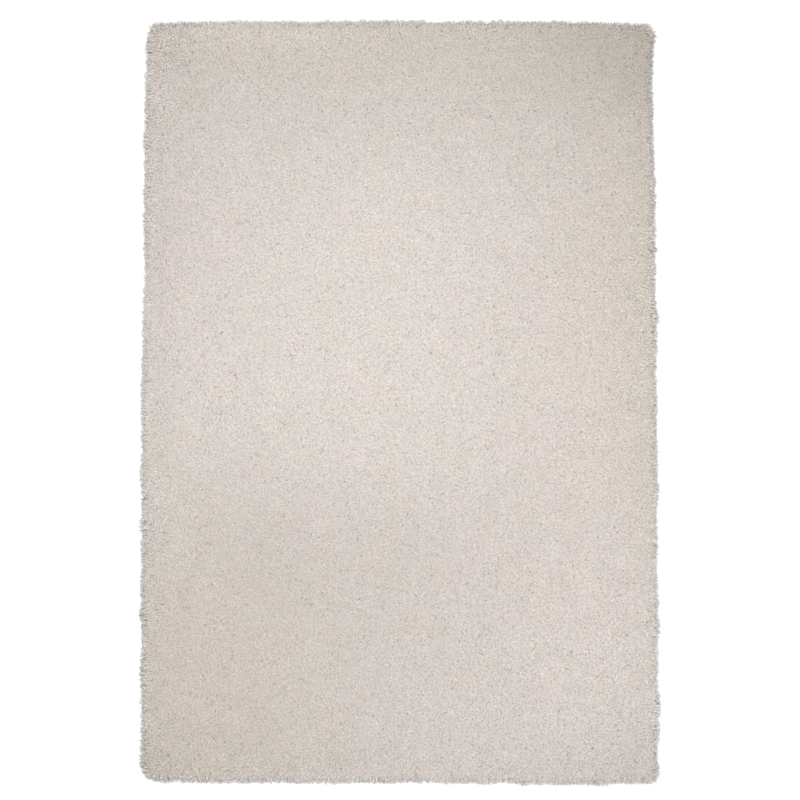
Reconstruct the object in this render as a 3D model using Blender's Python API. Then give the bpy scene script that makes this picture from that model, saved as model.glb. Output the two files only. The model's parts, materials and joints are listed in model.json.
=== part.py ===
"""A shag rug lying flat: one tufted cloth, about 1.56 by 2.32 m over its pile and 38 mm deep.

The rug is one solid. Its underside is the flat backing, its top is the lumpy crown of the pile, and its rim
is where the outermost yarn spills over the edge of the backing and parts into locks. Metres, +Z up, length
along Y, origin at the centre of the underside.
"""

import random

import bmesh
import bpy
from mathutils import Vector, noise

# The whole rug, measured over the pile, and the height of its crown above the floor.
RUG_WIDTH = 1.556
RUG_LENGTH = 2.312
CROWN_HEIGHT = 0.032

# The crown ends this far inside the rug's edge, with its corners cut round, and the rim falls from there. The
# whole corner is then drawn out towards a square one: 2 keeps it round, and a higher number makes it squarer.
CROWN_INSET = 0.032
CROWN_CORNER = 0.012
CORNER_FACES = 3
CORNER_SQUARENESS = 5

# The pile's cross-section at the rim, from the crown down to the floor. The locks stand out of the belly.
RIM_RINGS = (
    {"name": "shoulder", "inset": 0.018, "height": 0.028, "uneven": 0.0025},
    {"name": "belly", "inset": 0.012, "height": 0.013, "uneven": 0.002},
    {"name": "foot", "inset": 0.019, "height": 0.0, "uneven": 0.0},
)

# The crown is drawn as clumps of tufts, each raised in its middle, over a long swell of the whole pile.
CLUMP_PITCH = 0.052
CLUMP_SHIFT = 0.009
CLUMP_RISE = 0.0045
CLUMP_UNEVEN = 0.0028
SWELL_LENGTH = 0.19
SWELL_RISE = 0.0022

# A lock of yarn grows from each face of the belly, which has two of them to each clump of the crown's edge.
LOCKS_PER_CLUMP = 2
LOCK_REACH = 0.016
LOCK_REACH_UNEVEN = 0.004
LOCK_DROOP = 0.006
LOCK_SWAY = 0.004
LOCK_TIP_SHARE = 0.3
LOCK_TIP_UNEVEN = 0.1

# How far each edge of the rug strays outwards from its straight line, in metres. A place of -1 is the left or
# near end of an edge, and 1 is its right or far end.
EDGE_STRAY = (
    {"place": -1.0, "left": 0.000, "right": 0.000, "near": -0.008, "far": -0.005},
    {"place": -0.8, "left": 0.002, "right": 0.003, "near": -0.004, "far": 0.000},
    {"place": -0.6, "left": 0.005, "right": 0.001, "near": -0.002, "far": 0.001},
    {"place": -0.4, "left": 0.005, "right": 0.002, "near": 0.000, "far": 0.000},
    {"place": -0.2, "left": 0.006, "right": 0.003, "near": 0.000, "far": 0.002},
    {"place": 0.0, "left": 0.006, "right": 0.001, "near": -0.001, "far": 0.003},
    {"place": 0.2, "left": 0.004, "right": 0.003, "near": 0.002, "far": 0.001},
    {"place": 0.4, "left": -0.001, "right": -0.002, "near": 0.001, "far": 0.001},
    {"place": 0.6, "left": 0.002, "right": -0.001, "near": 0.004, "far": 0.001},
    {"place": 0.8, "left": -0.001, "right": -0.008, "near": 0.003, "far": -0.003},
    {"place": 1.0, "left": -0.007, "right": -0.001, "near": 0.001, "far": -0.007},
)

SEED = 11
IVORY_YARN = (0.69, 0.63, 0.57, 1.0)
YARN_ROUGHNESS = 0.95


def clear_scene():
    for found in list(bpy.data.objects):
        bpy.data.objects.remove(found)


def in_order(points):
    """Points or faces sorted by where they are, so that the dice fall the same way each run."""

    def place(point):
        spot = point.co if isinstance(point, bmesh.types.BMVert) else point.calc_center_median()
        return round(1000 * spot.y), round(1000 * spot.x)

    return sorted(points, key=place)


def stray(edge, place):
    """The stray of one edge at a place along it, read smoothly between the rows of the table."""
    for start, end in zip(EDGE_STRAY, EDGE_STRAY[1:]):
        if place <= end["place"]:
            share = (place - start["place"]) / (end["place"] - start["place"])
            eased = share * share * (3 - 2 * share)
            return start[edge] + (end[edge] - start[edge]) * eased
    return EDGE_STRAY[-1][edge]


def strayed(point):
    """The point moved as the rug's edges stray, fully at an edge and not at all on the centre lines."""
    across = max(-1.0, min(1.0, 2 * point.x / RUG_WIDTH))
    along = max(-1.0, min(1.0, 2 * point.y / RUG_LENGTH))
    side = stray("right" if across > 0 else "left", along)
    end = stray("far" if along > 0 else "near", across)
    return point + Vector((side * across * abs(across), end * along * abs(along), 0.0))


def way_out(point):
    """The level way to a point from the inner rectangle whose corners the rug's own corners turn about."""
    half_width = RUG_WIDTH / 2 - CROWN_INSET - CROWN_CORNER
    half_length = RUG_LENGTH / 2 - CROWN_INSET - CROWN_CORNER
    nearest_x = max(-half_width, min(half_width, point.x))
    nearest_y = max(-half_length, min(half_length, point.y))
    return Vector((point.x - nearest_x, point.y - nearest_y, 0.0))


def squared(point):
    """The point moved out of its place on a round corner to its place on a squarer one."""
    way = way_out(point)
    if way.length == 0:
        return point
    across, along = abs(way.normalized().x), abs(way.normalized().y)
    stretch = (across**CORNER_SQUARENESS + along**CORNER_SQUARENESS) ** (-1 / CORNER_SQUARENESS)
    return point + way * (stretch - 1)


def crown_height(point, rise):
    """The pile's height: a long swell over the whole rug, and the rise at this point of a clump."""
    swell = noise.noise(Vector((point.x, point.y, 0.0)) / SWELL_LENGTH)
    return CROWN_HEIGHT + SWELL_RISE * swell + rise


def add_crown(bm, dice):
    """The top of the pile, a grid of clumps with round corners. Returns the edges round it."""
    width = RUG_WIDTH - 2 * CROWN_INSET
    length = RUG_LENGTH - 2 * CROWN_INSET
    bmesh.ops.create_grid(
        bm, x_segments=round(width / CLUMP_PITCH), y_segments=round(length / CLUMP_PITCH), size=0.5
    )
    bmesh.ops.scale(bm, vec=(width, length, 1.0), verts=bm.verts)
    corners = [vert for vert in bm.verts if len(vert.link_faces) == 1]
    bmesh.ops.bevel(
        bm,
        geom=corners,
        offset=CROWN_CORNER,
        segments=CORNER_FACES,
        profile=0.5,
        affect="VERTICES",
        material=-1,
    )
    middles = set(bmesh.ops.poke(bm, faces=bm.faces)["verts"])
    for vert in in_order(bm.verts):
        rise = CLUMP_RISE if vert in middles else 0.0
        if not vert.is_boundary:
            vert.co += Vector((dice.uniform(-1, 1), dice.uniform(-1, 1), 0.0)) * CLUMP_SHIFT
        vert.co.z = crown_height(vert.co, rise + dice.uniform(-1, 1) * CLUMP_UNEVEN)
    long_edges = [edge for edge in bm.edges if edge.is_boundary and edge.calc_length() > CLUMP_PITCH / 2]
    bmesh.ops.subdivide_edges(bm, edges=long_edges, cuts=LOCKS_PER_CLUMP - 1)
    return [edge for edge in bm.edges if edge.is_boundary]


def add_rim(bm, edges, dice):
    """The pile's rounded side, ring by ring to the floor, and the underside. Returns the belly's faces."""
    directions = {vert: way_out(vert.co).normalized() for edge in edges for vert in edge.verts}
    faces = {}
    inset = CROWN_INSET
    for ring in RIM_RINGS:
        made = bmesh.ops.extrude_edge_only(bm, edges=edges)["geom"]
        edges = [part for part in made if isinstance(part, bmesh.types.BMEdge) and part.is_boundary]
        faces[ring["name"]] = [part for part in made if isinstance(part, bmesh.types.BMFace)]
        lower = {}
        for vert in in_order({vert for edge in edges for vert in edge.verts}):
            above = next(edge.other_vert(vert) for edge in vert.link_edges if not edge.is_boundary)
            lower[vert] = directions[above]
            reach = inset - ring["inset"] + ring["uneven"] * dice.uniform(-1, 1)
            vert.co = above.co + directions[above] * reach
            vert.co.z = ring["height"] + ring["uneven"] * dice.uniform(-1, 1)
        directions = lower
        inset = ring["inset"]
    bmesh.ops.edgeloop_fill(bm, edges=edges)
    bmesh.ops.recalc_face_normals(bm, faces=bm.faces)
    return faces["belly"]


def grow_locks(bm, roots, dice):
    """One lock of yarn out of each root face: it narrows to its tip, droops, and sways to one side."""
    for tip in in_order(bmesh.ops.extrude_discrete_faces(bm, faces=roots)["faces"]):
        tip.normal_update()
        out = Vector((tip.normal.x, tip.normal.y, 0.0)).normalized()
        side = Vector((-out.y, out.x, 0.0))
        middle = tip.calc_center_median()
        shift = out * (LOCK_REACH + LOCK_REACH_UNEVEN * dice.uniform(-1, 1))
        shift += side * LOCK_SWAY * dice.uniform(-1, 1)
        shift.z = -LOCK_DROOP * dice.uniform(0.4, 1.2)
        share = LOCK_TIP_SHARE + LOCK_TIP_UNEVEN * dice.uniform(-1, 1)
        for vert in tip.verts:
            vert.co = middle + (vert.co - middle) * share + shift


def centre_on_origin(bm):
    """Moves the rug so that its outline is centred on the origin."""
    xs = [vert.co.x for vert in bm.verts]
    ys = [vert.co.y for vert in bm.verts]
    middle = Vector(((min(xs) + max(xs)) / 2, (min(ys) + max(ys)) / 2, 0.0))
    bmesh.ops.translate(bm, vec=-middle, verts=bm.verts)


def yarn_material():
    material = bpy.data.materials.new("ivory_polyester_yarn")
    material.use_nodes = True
    shader = material.node_tree.nodes["Principled BSDF"]
    shader.inputs["Base Color"].default_value = IVORY_YARN
    shader.inputs["Roughness"].default_value = YARN_ROUGHNESS
    shader.inputs["Metallic"].default_value = 0.0
    material.diffuse_color = IVORY_YARN
    return material


def make_shag_rug(collection):
    dice = random.Random(SEED)
    bm = bmesh.new()
    crown_edges = add_crown(bm, dice)
    lock_roots = add_rim(bm, crown_edges, dice)
    grow_locks(bm, lock_roots, dice)
    for vert in bm.verts:
        vert.co = strayed(squared(vert.co))
    centre_on_origin(bm)
    mesh = bpy.data.meshes.new("shag_rug")
    bm.to_mesh(mesh)
    bm.free()
    mesh.shade_smooth()
    mesh.materials.append(yarn_material())
    collection.objects.link(bpy.data.objects.new("shag_rug", mesh))


clear_scene()
rug_collection = bpy.data.collections.new("shag_rug")
bpy.context.scene.collection.children.link(rug_collection)
make_shag_rug(rug_collection)
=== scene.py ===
import json
import math

import bmesh
import bpy
import numpy as np
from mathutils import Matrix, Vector, noise
from mathutils.bvhtree import BVHTree

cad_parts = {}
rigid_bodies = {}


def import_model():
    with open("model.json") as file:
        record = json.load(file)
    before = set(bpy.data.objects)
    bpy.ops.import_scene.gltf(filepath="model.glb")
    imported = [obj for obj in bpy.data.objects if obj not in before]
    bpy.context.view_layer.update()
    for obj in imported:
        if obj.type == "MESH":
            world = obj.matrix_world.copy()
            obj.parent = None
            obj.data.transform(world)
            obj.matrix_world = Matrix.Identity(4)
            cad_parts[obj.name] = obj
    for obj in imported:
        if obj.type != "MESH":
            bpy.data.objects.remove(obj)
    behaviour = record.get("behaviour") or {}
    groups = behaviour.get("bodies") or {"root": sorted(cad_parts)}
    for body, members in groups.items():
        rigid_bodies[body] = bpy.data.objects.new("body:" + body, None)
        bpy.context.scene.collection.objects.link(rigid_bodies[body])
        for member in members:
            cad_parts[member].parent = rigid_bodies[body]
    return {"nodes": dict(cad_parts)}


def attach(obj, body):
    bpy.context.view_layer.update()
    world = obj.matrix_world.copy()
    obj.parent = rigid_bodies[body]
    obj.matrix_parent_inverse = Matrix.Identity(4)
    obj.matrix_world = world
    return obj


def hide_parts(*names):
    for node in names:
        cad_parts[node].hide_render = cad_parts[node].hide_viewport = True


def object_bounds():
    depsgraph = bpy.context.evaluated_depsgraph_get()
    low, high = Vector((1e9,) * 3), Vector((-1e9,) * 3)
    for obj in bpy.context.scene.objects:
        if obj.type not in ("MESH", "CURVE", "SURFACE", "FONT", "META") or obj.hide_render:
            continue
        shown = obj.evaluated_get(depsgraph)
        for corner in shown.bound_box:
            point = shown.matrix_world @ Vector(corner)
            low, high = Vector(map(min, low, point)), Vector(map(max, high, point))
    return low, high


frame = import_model()
cad_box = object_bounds()


# ---- Ground cloth -----------------------------------------------------------------------------------------
# The cloth that the yarn is tufted through: plain woven ecru canvas, 3 mm thick with the latex that holds the
# yarn. It is cut to a rectangle with small round corners, and its edges stray as the solid's underside does.

GROUND_THICKNESS = 0.003
GROUND_ECRU = "#d2c8b8"
GROUND_SHADE = "#aa9e8a"
MM_PER_METRE = 1000
THREAD_SPACING_MM = 2.4  # the real threads are 1.2 mm apart, which is too fine to show
THREAD_STRAY = 0.4
THREAD_RELIEF = 0.0006
WAVES_PER_UNIT = 20 / (2 * math.pi)  # bands that a wave texture of scale 1 draws in a metre
SAME_POINT = 1e-5  # corners nearer than this to each other, or to the underside, count as touching


def linear(hex_colour):
    """An sRGB hex colour as the linear colour that a shader takes."""
    channels = [int(hex_colour[i : i + 2], 16) / 255 for i in (1, 3, 5)]
    return (*(c / 12.92 if c <= 0.04045 else ((c + 0.055) / 1.055) ** 2.4 for c in channels), 1.0)


def add_node(tree, kind, settings=None, links=None):
    """Adds a node, sets its properties and input sockets, and links the sockets that feed it."""
    node = tree.nodes.new(kind)
    for name, value in (settings or {}).items():
        if isinstance(name, str) and hasattr(node, name):
            setattr(node, name, value)
        else:
            node.inputs[name].default_value = value
    for name, source in (links or {}).items():
        tree.links.new(source, node.inputs[name])
    return node


def new_material(name):
    """An empty material, its node tree and its output node."""
    material = bpy.data.materials.new(name)
    material.use_nodes = True
    material.node_tree.nodes.clear()
    return material, material.node_tree, material.node_tree.nodes.new("ShaderNodeOutputMaterial")


def add_object(name, bm, material):
    """Makes an object of the bmesh, in the scene."""
    mesh = bpy.data.meshes.new(name)
    bm.to_mesh(mesh)
    bm.free()
    mesh.materials.append(material)
    piece = bpy.data.objects.new(name, mesh)
    bpy.context.scene.collection.objects.link(piece)
    return piece


def dress(piece):
    """Makes the piece ride on the rug's body, in place of its solid."""
    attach(piece, "root")
    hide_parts("shag_rug")


def rug_solid():
    """The rug's solid as a bmesh with its corners welded and its flat underside made one face."""
    bm = bmesh.new()
    bm.from_mesh(frame["nodes"]["shag_rug"].data)
    bmesh.ops.remove_doubles(bm, verts=bm.verts, dist=SAME_POINT)
    flat = [face for face in bm.faces if max(vert.co.z for vert in face.verts) < SAME_POINT]
    bmesh.ops.dissolve_faces(bm, faces=flat)
    return bm


def way_round(spot):
    """A number that grows on the way round the rug, and tells the top of its cloth from the underside."""
    return math.atan2(spot.y, spot.x) + spot.z


# Woven ecru canvas: warp and weft threads are two sets of bands, and the light shows where both stand up.
canvas, tree, out = new_material("woven_ecru_canvas")
place = add_node(tree, "ShaderNodeTexCoord")
warp, weft = (
    add_node(
        tree,
        "ShaderNodeTexWave",
        {
            "bands_direction": way,
            "Scale": MM_PER_METRE / THREAD_SPACING_MM / WAVES_PER_UNIT,
            "Distortion": THREAD_STRAY,
        },
        {"Vector": place.outputs["Object"]},
    )
    for way in ("X", "Y")
)
weave = add_node(
    tree, "ShaderNodeMath", {"operation": "MULTIPLY"}, {0: warp.outputs["Fac"], 1: weft.outputs["Fac"]}
)
cloth_colour = add_node(
    tree,
    "ShaderNodeMix",
    {"data_type": "RGBA", 6: linear(GROUND_SHADE), 7: linear(GROUND_ECRU)},
    {0: weave.outputs[0]},
)
cloth_bump = add_node(
    tree, "ShaderNodeBump", {"Strength": 0.4, "Distance": THREAD_RELIEF}, {"Height": weave.outputs[0]}
)
cloth_shader = add_node(
    tree,
    "ShaderNodeBsdfPrincipled",
    {"Roughness": 0.9, "Specular IOR Level": 0.2},
    {"Base Color": cloth_colour.outputs[2], "Normal": cloth_bump.outputs["Normal"]},
)
tree.links.new(cloth_shader.outputs["BSDF"], out.inputs["Surface"])

ground = rug_solid()
raised = [face for face in ground.faces if max(vert.co.z for vert in face.verts) > SAME_POINT]
bmesh.ops.delete(ground, geom=raised, context="FACES")
edge_line = sorted((vert.co.copy() for vert in ground.verts), key=way_round)
bmesh.ops.solidify(ground, geom=ground.faces, thickness=GROUND_THICKNESS)
lowest = min(vert.co.z for vert in ground.verts)
bmesh.ops.translate(ground, vec=(0.0, 0.0, -lowest), verts=ground.verts)
bmesh.ops.recalc_face_normals(ground, faces=ground.faces)
ground.faces.sort(key=lambda face: way_round(face.calc_center_median()))
ground_surface = BVHTree.FromBMesh(ground)
ground_cloth = add_object("ground_cloth", ground, canvas)
dress(ground_cloth)


# ---- Pile bed ---------------------------------------------------------------------------------------------
# The lower part of the pile, where the ivory polyester yarn stands too close for light to pass. Only the
# shaded floor of its gaps shows. It is the solid, lowered and without its locks, and it sits on the cloth.

BED_DEPTH = 0.0085  # how far the bed lies below the solid's crown
LOCK_TIP_REACH = 0.0115  # a point of the solid farther than this past the cloth's edge is a lock's tip
CLUMP_SMOOTHINGS = 1
FACET_SMOOTHINGS = 3
YARN_PALE = np.array(linear("#f4ede9"))
YARN_BEIGE = np.array(linear("#f4ede3"))
YARN_GREY = np.array(linear("#f0ece8"))
ROSE_GAIN = 0.02  # how much more red the rosiest yarn gives back
ROOT_SHADE = 0.8  # the light that reaches a yarn's root
FIBRE_CLUMP_MM = 1.8  # the real fibres are 0.1 mm thick and lie in clumps of 1 to 2 mm
FIBRE_NOISE = (0.3, 0.7)  # nearly all of a noise texture's values lie between these
FIBRE_DARK = 0.34
FIBRE_LIGHT = 1.08
FIBRE_RELIEF = 0.0008
# painted shade: the bed's yarn is darkened further, on top of the yarn's painted root shade, as light hardly
# reaches it deep in the pile
BED_PAINTED_SHADE = 0.95
BED_BEIGE = 0.4
BED_ROSE = 0.4

# Cut polyester yarn: matt and a little downy, darker at its root by painted shade, its dye and shade noted on
# the points of the mesh.
yarn, tree, out = new_material("cut_polyester_yarn")
place = add_node(tree, "ShaderNodeTexCoord")
share = add_node(tree, "ShaderNodeAttribute", {"attribute_name": "tip_share"})
dye_and_shade = add_node(tree, "ShaderNodeAttribute", {"attribute_name": "dye_and_shade"})
# painted shade: the yarn's colour darkens from its tip down to ROOT_SHADE at its root
depth = add_node(
    tree,
    "ShaderNodeMapRange",
    {"From Min": 0.0, "From Max": 1.0, "To Min": ROOT_SHADE, "To Max": 1.0},
    {"Value": share.outputs["Fac"]},
)
fibres = add_node(
    tree,
    "ShaderNodeTexNoise",
    {"Scale": MM_PER_METRE / FIBRE_CLUMP_MM, "Detail": 0.0},
    {"Vector": place.outputs["Object"]},
)
speckle = add_node(
    tree,
    "ShaderNodeMapRange",
    {
        "From Min": FIBRE_NOISE[0],
        "From Max": FIBRE_NOISE[1],
        "To Min": FIBRE_DARK,
        "To Max": FIBRE_LIGHT,
    },
    {"Value": fibres.outputs["Fac"]},
)
shaded = add_node(
    tree, "ShaderNodeMath", {"operation": "MULTIPLY"}, {0: depth.outputs[0], 1: speckle.outputs[0]}
)
yarn_colour = add_node(
    tree, "ShaderNodeHueSaturation", {}, {"Color": dye_and_shade.outputs["Color"], "Value": shaded.outputs[0]}
)
fibre_bump = add_node(
    tree,
    "ShaderNodeBump",
    {"Strength": 0.25, "Distance": FIBRE_RELIEF},
    {"Height": fibres.outputs["Fac"]},
)
yarn_shader = add_node(
    tree,
    "ShaderNodeBsdfPrincipled",
    {"Roughness": 0.9, "Specular IOR Level": 0.25, "Sheen Weight": 0.15, "Sheen Roughness": 0.5},
    {"Base Color": yarn_colour.outputs["Color"], "Normal": fibre_bump.outputs["Normal"]},
)
tree.links.new(yarn_shader.outputs["BSDF"], out.inputs["Surface"])


def smooth(bm, times):
    """Eases every point of the bmesh towards its neighbours."""
    for _ in range(times):
        bmesh.ops.smooth_vert(
            bm, verts=bm.verts, factor=0.5, use_axis_x=True, use_axis_y=True, use_axis_z=True
        )


def past_cloth(spot):
    """How far a point lies outside the ground cloth's edge, as seen from above."""
    return ground_surface.find_nearest(Vector((spot.x, spot.y, GROUND_THICKNESS / 2)))[3]


def note_on_points(mesh, name, values):
    """Keeps a number, a direction or a colour on each point of the mesh."""
    kinds = {1: ("FLOAT", "value"), 3: ("FLOAT_VECTOR", "vector"), 4: ("FLOAT_COLOR", "color")}
    kind, field = kinds[values.size // len(values)]
    attribute = mesh.attributes.new(name, kind, "POINT")
    attribute.data.foreach_set(field, np.ascontiguousarray(values, dtype=np.float32).ravel())


def dyed_and_shaded(tone_and_shade, beige, rose, grey=0.0):
    """The colours of yarns of this brightness, which holds random tone and painted light and shade, that are
    this far from pale to beige, to rose and to grey.
    """
    tone_and_shade, beige, rose, grey = (np.reshape(part, (-1, 1)) for part in (tone_and_shade, beige, rose, grey))
    colours = YARN_PALE * (1 - beige) + YARN_BEIGE * beige
    colours = colours * (1 + rose * (ROSE_GAIN, 0, 0, 0))
    colours = (colours * (1 - grey) + YARN_GREY * grey) * tone_and_shade
    return np.concatenate([colours[:, :3], np.ones((len(colours), 1))], axis=1)


bed = rug_solid()
lock_tips = [vert for vert in bed.verts if past_cloth(vert.co) > LOCK_TIP_REACH]
bmesh.ops.delete(bed, geom=lock_tips, context="VERTS")
bmesh.ops.delete(bed, geom=[edge for edge in bed.edges if edge.is_wire], context="EDGES")
bmesh.ops.bridge_loops(bed, edges=[edge for edge in bed.edges if edge.is_boundary])
smooth(bed, CLUMP_SMOOTHINGS)
bmesh.ops.triangulate(bed, faces=[face for face in bed.faces if len(face.verts) == 4])
bmesh.ops.subdivide_edges(bed, edges=bed.edges, cuts=1, use_grid_fill=True)
smooth(bed, FACET_SMOOTHINGS)
bmesh.ops.recalc_face_normals(bed, faces=bed.faces)
bed.normal_update()
for vert in bed.verts:
    if vert.co.z < GROUND_THICKNESS:
        vert.co.z = GROUND_THICKNESS
    else:
        vert.co.z = max(vert.co.z - vert.normal.z * BED_DEPTH, GROUND_THICKNESS)
bmesh.ops.triangulate(bed, faces=bed.faces)
bed_surface = BVHTree.FromBMesh(bed)
pile_bed = add_object("pile_bed", bed, yarn)
bed_painted_shade = np.full(len(pile_bed.data.vertices), BED_PAINTED_SHADE)
note_on_points(pile_bed.data, "dye_and_shade", dyed_and_shaded(bed_painted_shade, BED_BEIGE, BED_ROSE))
dress(pile_bed)


# ---- Pile -------------------------------------------------------------------------------------------------
# Cut ends of the same ivory polyester yarn, tufted in lengthwise rows through the ground cloth and held by
# its latex. Each is a tapered tip that leans its own way, planted in the bed. They are joined in bands.

ROW_SPACING = 0.0042
STITCH_SPACING = 0.0042
TUFT_SHIFT = 0.001
OVERHEAD = 1.0  # a height well above the rug, from which the places for tufts are looked up
ROOT_DEPTH = 0.0015
LOWEST_ROOT = 0.006  # below this height the rim's locks cover the bed
YARN_SIDES = 3
END_LENGTH = 0.0125
END_LENGTHS = (0.85, 1.1)  # the shortest and longest ends, as shares of that length
END_RADIUS = 0.0036
END_WIDTHS = (0.9, 1.1)
END_KINDS = 6
END_SKEW = 0.2  # how far the tip of the straightest kind stands to one side, in radii
END_SKEW_STEP = 0.1
LEAN_SPREAD = 0.38
NAP_LEAN = 0.25  # how far neighbouring ends lean together
NAP_LENGTH = 0.045
SPILL_LEAN = 0.9  # how far the outermost ends lean out
SPILL_START = 0.02  # they stand on a line this far inside the tips of the solid's locks
SPILL_REACH = 0.06  # ends this far inside that line don't lean out any more
SPILL_EASE = 1.5
TINT_SPREAD = 0.015
ROW_TINT_SPREAD = 0.005
SHADED_SHARE = 0.025  # painted shade: ends darkened as if sunk between their neighbours
SHADED_TINTS = (0.45, 0.85)
EDGE_SHADE = 0.08  # painted shade darkens the pile a little along its edge, and its dye is more beige there
EDGE_BEIGE = 0.3
EDGE_REACH = 0.035
MOTTLE_LENGTHS = (0.014, 0.028, 0.06, 0.13)
PILE_BEIGE = 0.38
PILE_ROSE = 0.5
BEIGE_MOTTLE = 0.2
ROSE_MOTTLE = 0.45
BANDS = 5
SEED = 7

# Patches where the nap lies another way: the middle of each patch, how far it reaches across and along
# the rug, how much lighter it is (painted light and shade, darker at the corners), and how much more beige
# and rosy.
NAP_PATCHES = (
    {"x": -0.10, "y": 0.15, "wide": 0.80, "long": 0.62, "painted_light": 0.07, "beige": -0.05, "rose": -0.15},
    {"x": 0.00, "y": 0.62, "wide": 0.55, "long": 0.32, "painted_light": 0.04, "beige": 0.00, "rose": 0.00},
    {"x": -0.30, "y": 1.10, "wide": 0.55, "long": 0.16, "painted_light": 0.00, "beige": 0.45, "rose": 0.10},
    {"x": -0.42, "y": 1.11, "wide": 0.32, "long": 0.05, "painted_light": 0.08, "beige": 0.00, "rose": 0.00},
    {"x": -0.78, "y": 1.14, "wide": 0.10, "long": 0.10, "painted_light": -0.12, "beige": 0.10, "rose": 0.20},
    {"x": -0.80, "y": 0.50, "wide": 0.12, "long": 0.60, "painted_light": -0.04, "beige": 0.00, "rose": 0.40},
    {"x": 0.50, "y": 1.05, "wide": 0.50, "long": 0.22, "painted_light": 0.00, "beige": 0.30, "rose": 0.25},
    {"x": 0.78, "y": 1.12, "wide": 0.34, "long": 0.24, "painted_light": -0.14, "beige": 0.60, "rose": -0.30},
    {"x": 0.78, "y": 0.55, "wide": 0.18, "long": 0.55, "painted_light": -0.02, "beige": 0.50, "rose": 0.20},
    {"x": -0.64, "y": 0.40, "wide": 0.14, "long": 0.30, "painted_light": 0.00, "beige": -0.10, "rose": 0.50},
    {"x": 0.60, "y": 0.10, "wide": 0.20, "long": 0.50, "painted_light": 0.015, "beige": 0.15, "rose": 0.80},
    {"x": -0.05, "y": -0.45, "wide": 0.70, "long": 0.26, "painted_light": -0.06, "beige": 0.05, "rose": 0.30},
    {"x": -0.42, "y": -0.44, "wide": 0.28, "long": 0.24, "painted_light": -0.035, "beige": 0.00, "rose": 0.00},
    {"x": -0.62, "y": -0.95, "wide": 0.40, "long": 0.45, "painted_light": -0.035, "beige": 0.65, "rose": 0.70},
    {"x": -0.53, "y": -0.55, "wide": 0.16, "long": 0.22, "painted_light": 0.00, "beige": 0.25, "rose": 0.20},
    {"x": -0.78, "y": -1.15, "wide": 0.10, "long": 0.12, "painted_light": -0.12, "beige": 0.00, "rose": 0.30},
    {"x": 0.62, "y": -0.75, "wide": 0.45, "long": 0.48, "painted_light": 0.12, "beige": -0.05, "rose": 0.25},
    {"x": 0.78, "y": -1.15, "wide": 0.10, "long": 0.12, "painted_light": -0.06, "beige": 0.00, "rose": 0.00},
    {"x": 0.20, "y": -1.05, "wide": 0.62, "long": 0.16, "painted_light": 0.03, "beige": -0.20, "rose": 0.10},
    {"x": 0.05, "y": -1.17, "wide": 0.65, "long": 0.05, "painted_light": 0.06, "beige": 0.00, "rose": 0.20},
)

dice = np.random.default_rng(SEED)
noise.seed_set(SEED)  # unseeded, noise_vector differs from run to run


def heap_yarn(bm, name, heap):
    """Makes one kind of yarn end, which stands on its root with its tip at a height of 1, and heaps it."""
    mesh = bpy.data.meshes.new(name)
    bm.to_mesh(mesh)
    bm.free()
    note_on_points(mesh, "tip_share", np.clip([vert.co.z for vert in mesh.vertices], 0, 1))
    mesh.shade_smooth()
    mesh.materials.append(yarn)
    heap.objects.link(bpy.data.objects.new(name, mesh))


def planting_of(heap):
    """Geometry nodes that plant a piece of the heap at each point, as the point's notes say."""
    planting = bpy.data.node_groups.new("planting", "GeometryNodeTree")
    planting.interface.new_socket("Geometry", in_out="INPUT", socket_type="NodeSocketGeometry")
    planting.interface.new_socket("Geometry", in_out="OUTPUT", socket_type="NodeSocketGeometry")
    points = add_node(planting, "NodeGroupInput")
    note = {}
    for name in ("grow", "fall", "size", "kind"):
        kind = "INT" if name == "kind" else "FLOAT_VECTOR"
        read = add_node(planting, "GeometryNodeInputNamedAttribute", {"data_type": kind, "Name": name})
        note[name] = read.outputs["Attribute"]
    choice = add_node(
        planting,
        "GeometryNodeCollectionInfo",
        {"Collection": heap, "Separate Children": True, "Reset Children": True},
    )
    stand = add_node(planting, "FunctionNodeAlignRotationToVector", {"axis": "Z"}, {"Vector": note["grow"]})
    turned = add_node(
        planting,
        "FunctionNodeAlignRotationToVector",
        {"axis": "X", "pivot_axis": "Z"},
        {"Rotation": stand.outputs["Rotation"], "Vector": note["fall"]},
    )
    planted = add_node(
        planting,
        "GeometryNodeInstanceOnPoints",
        {"Pick Instance": True},
        {
            "Points": points.outputs["Geometry"],
            "Instance": choice.outputs["Instances"],
            "Instance Index": note["kind"],
            "Rotation": turned.outputs["Rotation"],
            "Scale": note["size"],
        },
    )
    grown = add_node(
        planting, "GeometryNodeRealizeInstances", {}, {"Geometry": planted.outputs["Instances"]}
    )
    add_node(planting, "NodeGroupOutput", {}, {"Geometry": grown.outputs["Geometry"]})
    return planting


def plant(name, heap, notes):
    """Plants a piece of the heap at each root and makes the result one mesh."""
    mesh = bpy.data.meshes.new(name)
    mesh.vertices.add(len(notes["root"]))
    mesh.vertices.foreach_set("co", notes["root"].astype(np.float32).ravel())
    for field in ("grow", "fall", "size", "dye_and_shade"):
        note_on_points(mesh, field, notes[field])
    mesh.attributes.new("kind", "INT", "POINT").data.foreach_set("value", notes["kind"])
    piece = bpy.data.objects.new(name, mesh)
    bpy.context.scene.collection.objects.link(piece)
    piece.modifiers.new("planting", "NODES").node_group = planting_of(heap)
    grown = bpy.data.meshes.new_from_object(piece.evaluated_get(bpy.context.evaluated_depsgraph_get()))
    piece.modifiers.clear()
    piece.data = grown
    grown.name = name
    for field in ("grow", "fall", "size", "kind"):
        if field in grown.attributes:
            grown.attributes.remove(grown.attributes[field])
    dress(piece)
    return piece


def gusts(places, length):
    """A direction at each place that turns slowly over this length, as in a gusty wind."""
    return np.array([noise.noise_vector(Vector((x, y, length)) / length) for x, y in places])


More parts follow.
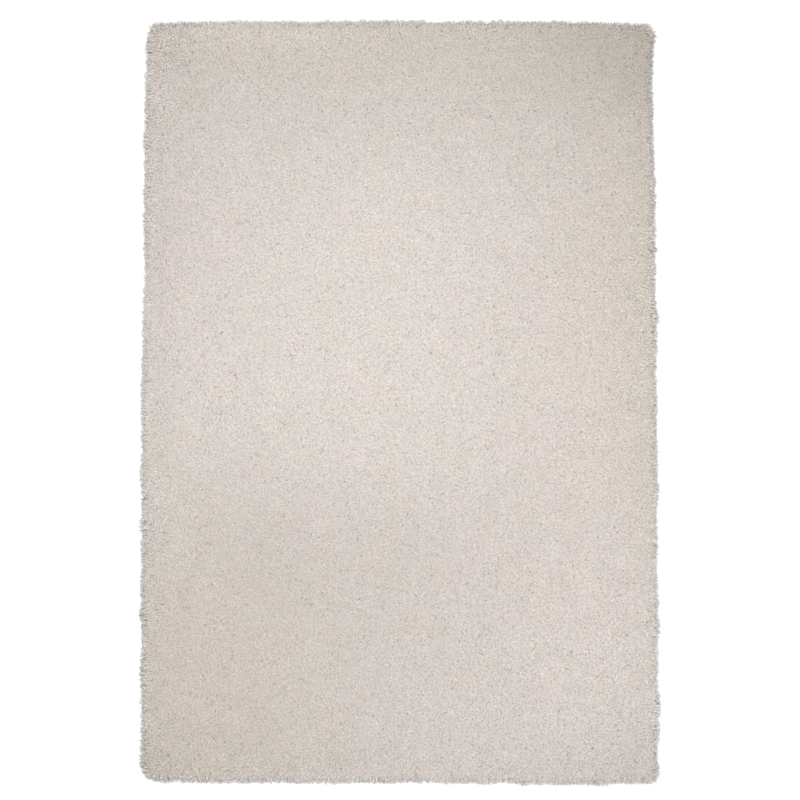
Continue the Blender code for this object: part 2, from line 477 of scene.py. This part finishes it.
def nap_at(places):
    """The painted light and shade of the nap at each place, and how far its dye goes to beige and to rose
    there.
    """
    painted_light, beige, rose = np.ones(len(places)), np.zeros(len(places)), np.zeros(len(places))
    for patch in NAP_PATCHES:
        offset = (places - (patch["x"], patch["y"])) / (patch["wide"], patch["long"])
        inside = np.exp(-(offset**2).sum(axis=1))
        painted_light *= 1 + patch["painted_light"] * inside
        beige += patch["beige"] * inside
        rose += patch["rose"] * inside
    return painted_light, beige, rose


yarn_ends = bpy.data.collections.new("yarn_ends")
for number in range(END_KINDS):
    end = bmesh.new()
    bmesh.ops.create_cone(
        end, cap_ends=True, segments=YARN_SIDES, radius1=END_RADIUS, radius2=0.0, depth=1.0
    )
    bmesh.ops.remove_doubles(end, verts=end.verts, dist=SAME_POINT)
    bmesh.ops.translate(end, vec=(0, 0, 0.5), verts=end.verts)
    tip = max(end.verts, key=lambda vert: vert.co.z)
    tip.co.x += END_RADIUS * (END_SKEW + END_SKEW_STEP * number)
    heap_yarn(end, f"yarn_end_{number}", yarn_ends)

low, high = (np.array(corner) for corner in cad_box)
rows = np.arange(low[0], high[0], ROW_SPACING)
stitches = np.arange(low[1], high[1], STITCH_SPACING)
row_of, stitch_of = (grid.ravel() for grid in np.meshgrid(range(len(rows)), range(len(stitches))))
staggered = stitches[stitch_of] + STITCH_SPACING / 2 * (row_of % 2)
places = np.stack([rows[row_of], staggered], axis=1)
places += dice.uniform(-TUFT_SHIFT, TUFT_SHIFT, places.shape)
hits = [bed_surface.ray_cast(Vector((x, y, OVERHEAD)), Vector((0, 0, -1))) for x, y in places]
on_bed = np.array([hit[0] is not None and hit[0].z > LOWEST_ROOT for hit in hits])
places = places[on_bed]
row_of = row_of[on_bed]
normals = np.array([hit[1] for hit, kept in zip(hits, on_bed) if kept])
roots = np.array([hit[0] for hit, kept in zip(hits, on_bed) if kept]) - normals * ROOT_DEPTH
count = len(roots)

edge_gaps = high[:2] - SPILL_START - np.abs(places)
spill = SPILL_LEAN * np.sign(places) * np.clip(1 - edge_gaps / SPILL_REACH, 0, 1) ** SPILL_EASE
lean = dice.normal(0, LEAN_SPREAD, (count, 2)) + NAP_LEAN * gusts(places, NAP_LENGTH)[:, :2]
grow = normals.copy()
grow[:, :2] += lean + spill
size = np.ones((count, 3))
size[:, :2] = dice.uniform(*END_WIDTHS, (count, 1))
size[:, 2] = END_LENGTH * dice.uniform(*END_LENGTHS, count)

tone_and_shade = 1 + dice.normal(0, TINT_SPREAD, count) + dice.normal(0, ROW_TINT_SPREAD, len(rows))[row_of]
# painted shade: a few ends are darkened, as if sunk between their neighbours
tone_and_shade *= np.where(dice.uniform(0, 1, count) < SHADED_SHARE, dice.uniform(*SHADED_TINTS, count), 1.0)
# painted shade along the pile's edge, and more beige dye there, both fading over EDGE_REACH
near_edge = np.exp(-np.clip(edge_gaps.min(axis=1), 0, None) / EDGE_REACH)
# painted light and shade of the nap patches, with their beige and rose dye
nap_painted_light, nap_beige, nap_rose = nap_at(places)
tone_and_shade *= nap_painted_light * (1 - EDGE_SHADE * near_edge)
mottle = sum(gusts(places, length) for length in MOTTLE_LENGTHS)
beige = PILE_BEIGE + nap_beige + BEIGE_MOTTLE * mottle[:, 0] + EDGE_BEIGE * near_edge
rose = PILE_ROSE + nap_rose + ROSE_MOTTLE * mottle[:, 1]

notes = {
    "root": roots,
    "grow": grow,
    "fall": grow * (1, 1, 0),
    "size": size,
    "dye_and_shade": dyed_and_shaded(tone_and_shade, beige, rose),
    "kind": dice.integers(0, END_KINDS, count).astype(np.int32),
}
band_of = ((places[:, 1] - low[1]) / (high[1] - low[1]) * BANDS).astype(int).clip(0, BANDS - 1)
pile = [
    plant(f"pile_band_{band}", yarn_ends, {name: values[band_of == band] for name, values in notes.items()})
    for band in range(BANDS)
]


# ---- Rim locks --------------------------------------------------------------------------------------------
# The outermost tufts of the same yarn, which spill over the cloth's edge and hide it. They lie in rows, one
# over another from the foot up, and gather a little into locks. Each strand has a waist and a tapered tip.

# Each row: how far inside the cloth's edge and how high it is held, its lean from upright in degrees, the
# length of its strands, and how bright they are, which is painted shade, deepest at the foot. The two lowest
# are held by the side of the cloth itself.
RIM_ROWS = (
    {"name": "welt", "inset": -0.002, "height": 0.0012, "lean": 88, "length": 0.011, "tone_and_shade": 0.77},
    {"name": "foot", "inset": -0.002, "height": 0.0028, "lean": 84, "length": 0.012, "tone_and_shade": 0.77},
    {"name": "skirt", "inset": -0.004, "height": 0.005, "lean": 98, "length": 0.019, "tone_and_shade": 0.785},
    {"name": "hem", "inset": -0.004, "height": 0.008, "lean": 88, "length": 0.021, "tone_and_shade": 0.795},
    {"name": "flank", "inset": -0.003, "height": 0.011, "lean": 78, "length": 0.023, "tone_and_shade": 0.815},
    {"name": "cheek", "inset": -0.001, "height": 0.015, "lean": 68, "length": 0.022, "tone_and_shade": 0.845},
    {"name": "shoulder", "inset": 0.003, "height": 0.018, "lean": 58, "length": 0.017, "tone_and_shade": 0.875},
)
STRAND_SPACING = 0.0034
STRAND_SHIFT = 0.4  # how far a strand may stand off its even place, as a share of the spacing
STRAND_RADIUS = 0.0022
STRAND_WIDTHS = (0.8, 1.2)
STRAND_LENGTHS = (0.78, 1.15)
STRAND_WAIST = 0.6
STRAND_BENDS = (0.0005, 0.001, 0.0015, 0.002, 0.003, 0.004)  # how far each kind's tip stands to one side
WAIST_BEND = 0.25  # the share of that bend which the waist has
LEAN_JITTER = 12
STEEPEST_LEAN = 105
SWAY = 0.75
LOCK_PITCH = 0.021
LOCK_SHIFT = 0.3
LOCK_GATHER = 0.35
LOCK_UNEVEN = 0.1
FAN_REACH = 0.016  # strands are counted along a line this far outside the cloth, so that corners are as full
CORNER_LENGTH = 0.38  # how much longer the strands are at the very corners, which makes these squarer
CORNER_SPAN = 0.03
STRAY_SHARE = 0.02  # loose strands, thinner and longer than the rest
STRAY_SHAPE = (0.6, 0.6, 1.3)
RIM_BEIGE = 0.5
RIM_ROSE = 0.7
RIM_GREY = 0.35
RIM_TINT_SPREAD = 0.05
# painted shade: this share of rim strands is darkened, as if sunk between their neighbours
RIM_SHADED_SHARE = 0.06
FLOOR_GAP = 0.0006  # the yarn stays this far above the ground plane, and the floor lies as far below it

rim_strands = bpy.data.collections.new("rim_strands")
for number, bend in enumerate(STRAND_BENDS):
    strand = bmesh.new()
    bmesh.ops.create_circle(strand, cap_ends=True, segments=YARN_SIDES, radius=STRAND_RADIUS)
    waist = bmesh.ops.extrude_discrete_faces(strand, faces=strand.faces)["faces"]
    bmesh.ops.translate(strand, vec=(bend * WAIST_BEND, 0, STRAND_WAIST), verts=waist[0].verts)
    tip = bmesh.ops.poke(strand, faces=waist)["verts"][0]
    tip.co = Vector((bend, 0, 1.0))
    bmesh.ops.holes_fill(strand, edges=strand.edges, sides=YARN_SIDES)
    bmesh.ops.recalc_face_normals(strand, faces=strand.faces)
    heap_yarn(strand, f"rim_strand_{number}", rim_strands)

line = np.array([spot[:2] for spot in edge_line])
ahead = np.roll(line, -1, axis=0) - line
across = np.stack([ahead[:, 1], -ahead[:, 0]], axis=1)
across /= np.linalg.norm(across, axis=1, keepdims=True)
corner_out = across + np.roll(across, 1, axis=0)
corner_out /= np.linalg.norm(corner_out, axis=1, keepdims=True)
fan = line + corner_out * FAN_REACH
steps = np.linalg.norm(np.roll(fan, -1, axis=0) - fan, axis=1)
travel = np.concatenate([[0.0], np.cumsum(steps)])


def along_edge(distances):
    """Points of the cloth's edge line and the directions out of it, at distances round its fan line."""
    before = np.clip(np.searchsorted(travel, distances, side="right") - 1, 0, len(line) - 1)
    after = (before + 1) % len(line)
    part = ((distances - travel[before]) / steps[before])[:, None]
    spot = line[before] * (1 - part) + line[after] * part
    out_way = corner_out[before] * (1 - part) + corner_out[after] * part
    return spot, out_way / np.linalg.norm(out_way, axis=1, keepdims=True)


def spread_round(count, shift):
    """Distances round the rug that are even but for a shift of up to this share of their spacing."""
    return (np.arange(count) + 0.5 + dice.uniform(-shift, shift, count)) * travel[-1] / count


lock_middles = spread_round(round(travel[-1] / LOCK_PITCH), LOCK_SHIFT)
lock_lengths = 1 + dice.normal(0, LOCK_UNEVEN, len(lock_middles))
count = round(travel[-1] / STRAND_SPACING)
rim_notes = []
for row in RIM_ROWS:
    distances = spread_round(count, STRAND_SHIFT)
    spot, out_way = along_edge(distances)
    side_way = np.stack([-out_way[:, 1], out_way[:, 0]], axis=1)
    lock = np.abs(distances[:, None] - lock_middles[None, :]).argmin(axis=1)
    gather = (lock_middles[lock] - distances) / row["length"] * LOCK_GATHER
    sideways = (gather + dice.normal(0, SWAY, count))[:, None]
    tilt = np.radians(np.clip(row["lean"] + dice.normal(0, LEAN_JITTER, count), 0, STEEPEST_LEAN))[:, None]
    held_by = ground_surface if row["height"] < GROUND_THICKNESS else bed_surface
    root = []
    for x, y in spot - out_way * row["inset"]:
        landing, normal, _, _ = held_by.find_nearest(Vector((x, y, row["height"])))
        root.append(landing - normal * ROOT_DEPTH)
    corner_gap = np.linalg.norm(np.abs(line).max(axis=0) - np.abs(spot), axis=1)
    at_corner = 1 + CORNER_LENGTH * np.exp(-((corner_gap / CORNER_SPAN) ** 2))
    size = np.ones((count, 3))
    size[:, :2] = dice.uniform(*STRAND_WIDTHS, (count, 1))
    size[:, 2] = row["length"] * lock_lengths[lock] * at_corner * dice.uniform(*STRAND_LENGTHS, count)
    size[dice.uniform(0, 1, count) < STRAY_SHARE] *= STRAY_SHAPE
    nap_painted_light, nap_beige, nap_rose = nap_at(spot)
    # painted shade of each row, deepest at the foot, with the nap patches' painted light and shade
    tone_and_shade = (row["tone_and_shade"] + dice.normal(0, RIM_TINT_SPREAD, count)) * nap_painted_light
    # painted shade: a few strands are darkened, as if sunk between their neighbours
    tone_and_shade *= np.where(dice.uniform(0, 1, count) < RIM_SHADED_SHARE, dice.uniform(*SHADED_TINTS, count), 1.0)
    rim_notes.append({
        "root": np.array(root),
        "grow": np.concatenate([out_way * np.sin(tilt) + side_way * sideways, np.cos(tilt)], axis=1),
        "fall": np.concatenate([out_way * np.cos(tilt), -np.sin(tilt)], axis=1),
        "size": size,
        "dye_and_shade": dyed_and_shaded(tone_and_shade, RIM_BEIGE + nap_beige, RIM_ROSE + nap_rose, RIM_GREY),
        "kind": dice.integers(0, len(STRAND_BENDS), count).astype(np.int32),
    })
rim = plant(
    "rim_locks",
    rim_strands,
    {name: np.concatenate([row[name] for row in rim_notes]) for name in rim_notes[0]},
)
for vert in rim.data.vertices:
    vert.co.z = max(vert.co.z, FLOOR_GAP)
for heap in (yarn_ends, rim_strands):
    for end in list(heap.objects):
        bpy.data.objects.remove(end)
    bpy.data.collections.remove(heap)


# ---- Stage ------------------------------------------------------------------------------------------------
# A white paper floor in an evenly lit white studio, with a softbox over the middle of the rug. The camera
# hangs nearly straight above the rug's middle and looks down at it.

FLOOR_HALF_SIZE = 20.0
FLOOR_WHITE = 0.7
STUDIO_LIGHT = 1.445
SOFTBOX_SIZE = 1.4
SOFTBOX_WATTS = 52
SOFTBOX_PLACE = (-0.1, 0.0, 2.4)
CAMERA_PLACE = (0.0027, -0.1108, 4.2)
CAMERA_TILT = 1.5  # degrees
LENS_MM = 62.0
SENSOR_MM = 36.0

# Matt white seamless paper, a little grey so that it doesn't glare under the strong light.
paper, tree, out = new_material("white_paper_floor")
paper_shader = add_node(
    tree,
    "ShaderNodeBsdfPrincipled",
    {"Base Color": (FLOOR_WHITE, FLOOR_WHITE, FLOOR_WHITE, 1.0), "Roughness": 0.9, "Specular IOR Level": 0.1},
)
tree.links.new(paper_shader.outputs["BSDF"], out.inputs["Surface"])
sweep = bmesh.new()
bmesh.ops.create_grid(sweep, x_segments=1, y_segments=1, size=FLOOR_HALF_SIZE)
bmesh.ops.translate(sweep, vec=(0, 0, -FLOOR_GAP), verts=sweep.verts)
add_object("floor", sweep, paper)

studio = bpy.data.worlds.new("studio")
studio.use_nodes = True
studio.node_tree.nodes["Background"].inputs["Color"].default_value = (1.0, 1.0, 1.0, 1.0)
studio.node_tree.nodes["Background"].inputs["Strength"].default_value = STUDIO_LIGHT
bpy.context.scene.world = studio

softbox = bpy.data.objects.new("softbox", bpy.data.lights.new("softbox", "AREA"))
softbox.data.size = SOFTBOX_SIZE
softbox.data.energy = SOFTBOX_WATTS
softbox.location = SOFTBOX_PLACE
softbox.visible_camera = False
bpy.context.scene.collection.objects.link(softbox)

camera = bpy.data.objects.new("camera", bpy.data.cameras.new("camera"))
camera.data.lens = LENS_MM
camera.data.sensor_width = SENSOR_MM
camera.location = CAMERA_PLACE
camera.rotation_euler = (math.radians(CAMERA_TILT), 0.0, 0.0)
bpy.context.scene.collection.objects.link(camera)
bpy.context.scene.camera = camera
bpy.context.scene.view_settings.view_transform = "Standard"
